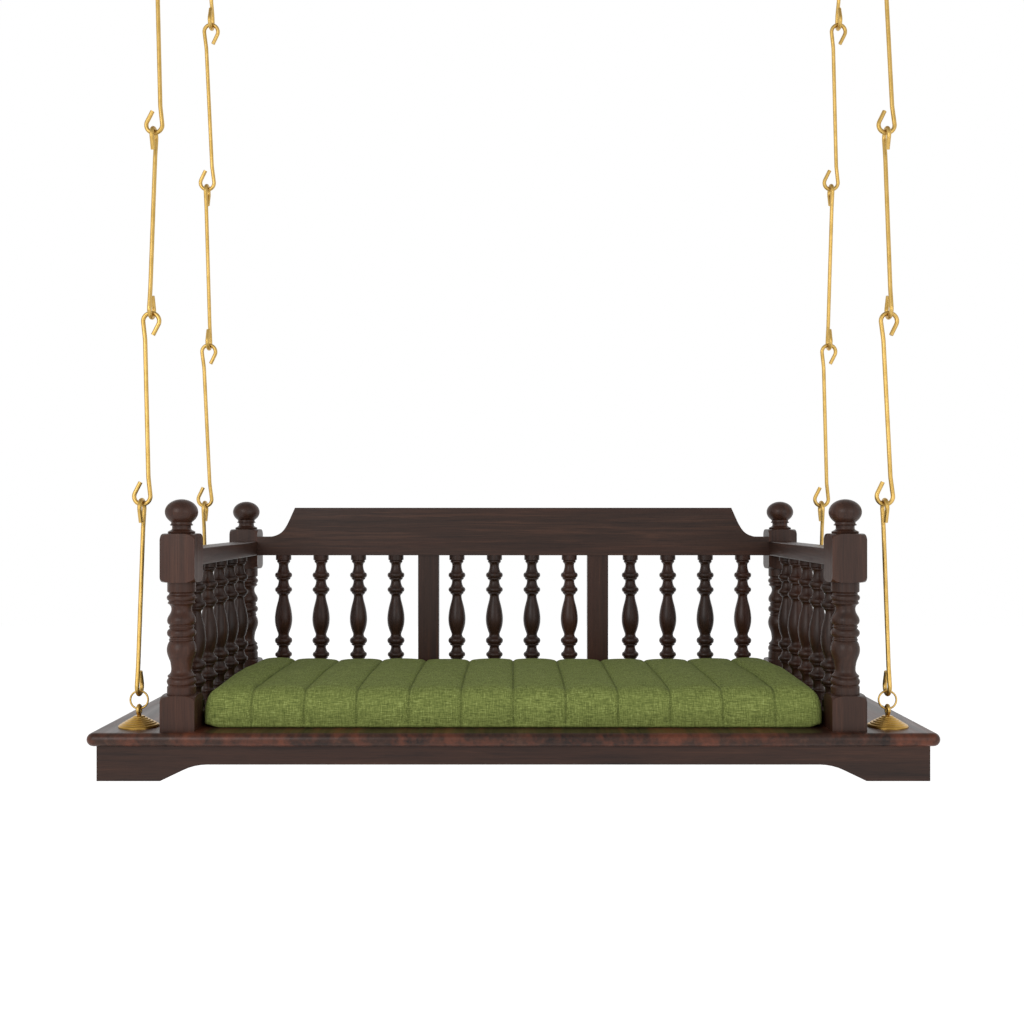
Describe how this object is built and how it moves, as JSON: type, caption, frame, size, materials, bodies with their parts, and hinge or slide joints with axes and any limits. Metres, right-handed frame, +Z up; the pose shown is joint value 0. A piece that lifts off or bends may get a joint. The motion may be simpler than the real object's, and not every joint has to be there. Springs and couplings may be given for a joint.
{
  "type": "hanging jhoola swing seat",
  "caption": "Wooden jhoola swing: plank seat with turned posts, spindled arms and back, channelled cushion, hung from the ceiling on hooked brass rods.",
  "frame": {"origin": "under the middle of the seat, level with the aprons' lower edge", "axes": "+Z up along the posts and chains; -Y is the open front; +X is the sitter's left, to the right in a front view"},
  "size_m": [1.524, 0.66, 1.7023],
  "materials": {
    "dark_wood": "dark walnut stain, satin lacquer",
    "brass": "satin gold-toned brass",
    "steel": "zinc-plated fasteners",
    "cushion_fabric": "olive green slubby woven cloth"
  },
  "bodies": {
    "ceiling_fittings": {"ceiling_roses": "brass", "ceiling_hook_front_left": "brass", "ceiling_hook_front_right": "brass", "ceiling_hook_rear_left": "brass", "ceiling_hook_rear_right": "brass"},
    "top_rod_front_left": {"rod_front_left_4": "brass"},
    "top_rod_front_right": {"rod_front_right_4": "brass"},
    "top_rod_rear_left": {"rod_rear_left_4": "brass"},
    "top_rod_rear_right": {"rod_rear_right_4": "brass"},
    "chain_front_left": {"rod_front_left_1": "brass", "rod_front_left_2": "brass", "rod_front_left_3": "brass"},
    "chain_front_right": {"rod_front_right_1": "brass", "rod_front_right_2": "brass", "rod_front_right_3": "brass"},
    "chain_rear_left": {"rod_rear_left_1": "brass", "rod_rear_left_2": "brass", "rod_rear_left_3": "brass"},
    "chain_rear_right": {"rod_rear_right_1": "brass", "rod_rear_right_2": "brass", "rod_rear_right_3": "brass"},
    "ring_front_left": {"ring_front_left": "brass"},
    "ring_front_right": {"ring_front_right": "brass"},
    "ring_rear_left": {"ring_rear_left": "brass"},
    "ring_rear_right": {"ring_rear_right": "brass"},
    "seat": {"seat_board": "dark_wood", "apron_front": "dark_wood", "apron_back": "dark_wood", "apron_left": "dark_wood", "apron_right": "dark_wood", "batten_left": "dark_wood", "batten_middle": "dark_wood", "batten_right": "dark_wood", "corner_blocks": "dark_wood", "post_front_left": "dark_wood", "post_front_right": "dark_wood", "post_rear_left": "dark_wood", "post_rear_right": "dark_wood", "arm_rail_left": "dark_wood", "arm_rail_right": "dark_wood", "side_foot_rail_left": "dark_wood", "side_foot_rail_right": "dark_wood", "back_foot_rail": "dark_wood", "crest_rail": "dark_wood", "back_stile_left": "dark_wood", "back_stile_right": "dark_wood", "back_spindles_left": "dark_wood", "back_spindles_middle": "dark_wood", "back_spindles_right": "dark_wood", "side_spindles_left": "dark_wood", "side_spindles_right": "dark_wood", "cushion": "cushion_fabric", "bell_canopies": "brass", "eye_bolts": "brass", "eye_bolt_washers": "steel", "eye_bolt_nuts": "steel", "post_bolts": "steel", "batten_screws": "steel"}
  },
  "joints": [
    {"name": "swing", "type": "hinge", "parent": "ceiling_fittings", "child": "top_rod_front_left", "pos_m": [-0.66189, -0.18619, 1.55055], "axis": [1, 0, 0], "range_deg": [-13, 13]},
    {"name": "swing_front_right", "type": "hinge", "parent": "ceiling_fittings", "child": "top_rod_front_right", "pos_m": [0.71411, -0.18619, 1.55055], "axis": [1, 0, 0], "range_deg": [-13, 13]},
    {"name": "swing_rear_left", "type": "hinge", "parent": "ceiling_fittings", "child": "top_rod_rear_left", "pos_m": [-0.66189, 0.18623, 1.54965], "axis": [1, 0, 0], "range_deg": [-13, 13]},
    {"name": "swing_rear_right", "type": "hinge", "parent": "ceiling_fittings", "child": "top_rod_rear_right", "pos_m": [0.71411, 0.18623, 1.54965], "axis": [1, 0, 0], "range_deg": [-13, 13]},
    {"name": "sway", "type": "hinge", "parent": "top_rod_front_left", "child": "chain_front_left", "pos_m": [-0.67502, -0.20223, 1.20166], "axis": [0, 1, 0], "range_deg": [-4.5, 4.5]},
    {"name": "sway_front_right", "type": "hinge", "parent": "top_rod_front_right", "child": "chain_front_right", "pos_m": [0.70098, -0.20223, 1.20166], "axis": [0, 1, 0], "range_deg": [-4.5, 4.5]},
    {"name": "sway_rear_left", "type": "hinge", "parent": "top_rod_rear_left", "child": "chain_rear_left", "pos_m": [-0.67502, 0.20228, 1.20077], "axis": [0, 1, 0], "range_deg": [-4.5, 4.5]},
    {"name": "sway_rear_right", "type": "hinge", "parent": "top_rod_rear_right", "child": "chain_rear_right", "pos_m": [0.70098, 0.20228, 1.20077], "axis": [0, 1, 0], "range_deg": [-4.5, 4.5]},
    {"name": "ring_front_left_roll", "type": "hinge", "parent": "chain_front_left", "child": "ring_front_left", "pos_m": [-0.688, -0.25078, 0.14622], "axis": [0, 1, 0], "range_deg": [-4.5, 4.5]},
    {"name": "seat_pitch", "type": "hinge", "parent": "ring_front_left", "child": "seat", "pos_m": [-0.688, -0.252, 0.1198], "axis": [1, 0, 0], "range_deg": [-11.2, 11.2]},
    {"name": "ring_front_right_pitch", "type": "hinge", "parent": "seat", "child": "ring_front_right", "pos_m": [0.688, -0.252, 0.1198], "axis": [1, 0, 0], "range_deg": [-11.2, 11.2]},
    {"name": "ring_rear_left_pitch", "type": "hinge", "parent": "seat", "child": "ring_rear_left", "pos_m": [-0.688, 0.252, 0.1198], "axis": [1, 0, 0], "range_deg": [-11.2, 11.2]},
    {"name": "ring_rear_right_pitch", "type": "hinge", "parent": "seat", "child": "ring_rear_right", "pos_m": [0.688, 0.252, 0.1198], "axis": [1, 0, 0], "range_deg": [-11.2, 11.2]}
  ],
  "couplings": [
    {"joint": "swing_front_right", "follows": "swing", "ratio": 1},
    {"joint": "swing_rear_left", "follows": "swing", "ratio": 1},
    {"joint": "swing_rear_right", "follows": "swing", "ratio": 1},
    {"joint": "sway_front_right", "follows": "sway", "ratio": 1},
    {"joint": "sway_rear_left", "follows": "sway", "ratio": 1},
    {"joint": "sway_rear_right", "follows": "sway", "ratio": 1},
    {"joint": "ring_front_left_roll", "follows": "sway", "ratio": -1},
    {"joint": "seat_pitch", "follows": "swing", "ratio": -0.7375},
    {"joint": "ring_front_right_pitch", "follows": "swing", "ratio": 0.7375},
    {"joint": "ring_rear_left_pitch", "follows": "swing", "ratio": 0.7375},
    {"joint": "ring_rear_right_pitch", "follows": "swing", "ratio": 0.7375}
  ]
}
